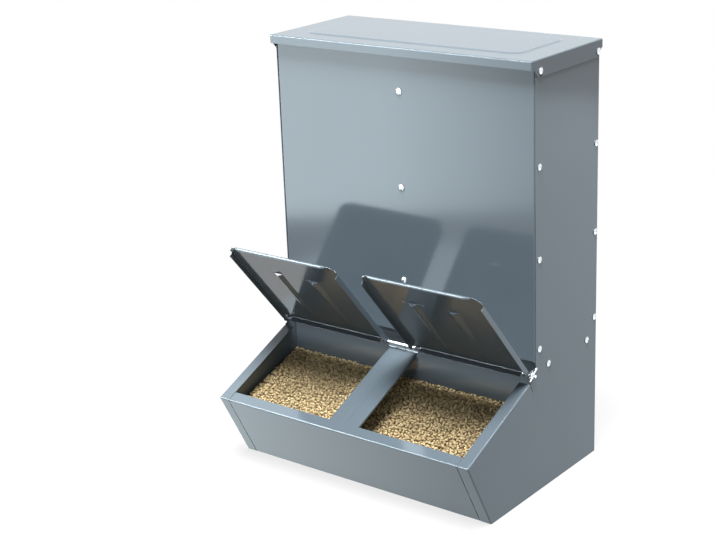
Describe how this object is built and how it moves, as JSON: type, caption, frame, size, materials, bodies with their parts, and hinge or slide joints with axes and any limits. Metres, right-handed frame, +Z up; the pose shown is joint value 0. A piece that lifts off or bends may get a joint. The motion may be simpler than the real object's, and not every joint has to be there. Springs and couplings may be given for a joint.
{
  "type": "pig feeder",
  "caption": "Free-standing sheet-steel pig feeder: a tall hopper with a hinged top lid feeds a divided trough under flip-up lids.",
  "frame": {"origin": "middle of the footprint box, on the floor under the trough pan", "axes": "+Z up, the trough faces -Y, +X to the right of someone who faces the trough"},
  "size_m": [0.616, 0.4668, 0.841],
  "materials": {
    "enamel": "glossy blue-grey baked enamel on steel sheet, with light orange peel",
    "zinc": "bright zinc plating",
    "feed": null
  },
  "bodies": {
    "feeder_body": {"left_side_panel": "enamel", "right_side_panel": "enamel", "front_panel": "enamel", "back_panel": "enamel", "trough_pan": "enamel", "trough_divider": "enamel", "throat_baffle": "enamel", "feed_ramp": "enamel", "centre_brace": "enamel", "hinge_rod": "zinc", "hinge_washers": "zinc", "hinge_split_pins": "zinc", "lid_pivot_bolts": "zinc", "lid_pivot_nuts": "zinc", "lid_latch_bolts": "zinc", "lid_latch_nuts": "zinc", "front_corner_screws": "zinc", "front_corner_nuts": "zinc", "rear_corner_screws": "zinc", "rear_corner_nuts": "zinc", "front_brace_screws": "zinc", "front_brace_nuts": "zinc", "back_brace_screws": "zinc", "back_brace_nuts": "zinc", "baffle_screws": "zinc", "baffle_nuts": "zinc", "ramp_screws": "zinc", "ramp_nuts": "zinc", "feed_bed": "feed"},
    "left_flap": {"left_trough_lid": "enamel"},
    "right_flap": {"right_trough_lid": "enamel"},
    "hopper_lid": {"top_lid": "enamel"}
  },
  "joints": [
    {"name": "left_flap_hinge", "type": "hinge", "parent": "feeder_body", "child": "left_flap", "pos_m": [-0.1637, -0.0164, 0.24708], "axis": [-1, 0, 0], "range_deg": [-73.3, 40]},
    {"name": "right_flap_hinge", "type": "hinge", "parent": "feeder_body", "child": "right_flap", "pos_m": [0.1637, -0.0164, 0.24708], "axis": [-1, 0, 0], "range_deg": [-73.3, 40]},
    {"name": "hopper_lid_hinge", "type": "hinge", "parent": "feeder_body", "child": "hopper_lid", "pos_m": [0, 0.2141, 0.818], "axis": [-1, 0, 0], "range_deg": [0, 100]}
  ]
}
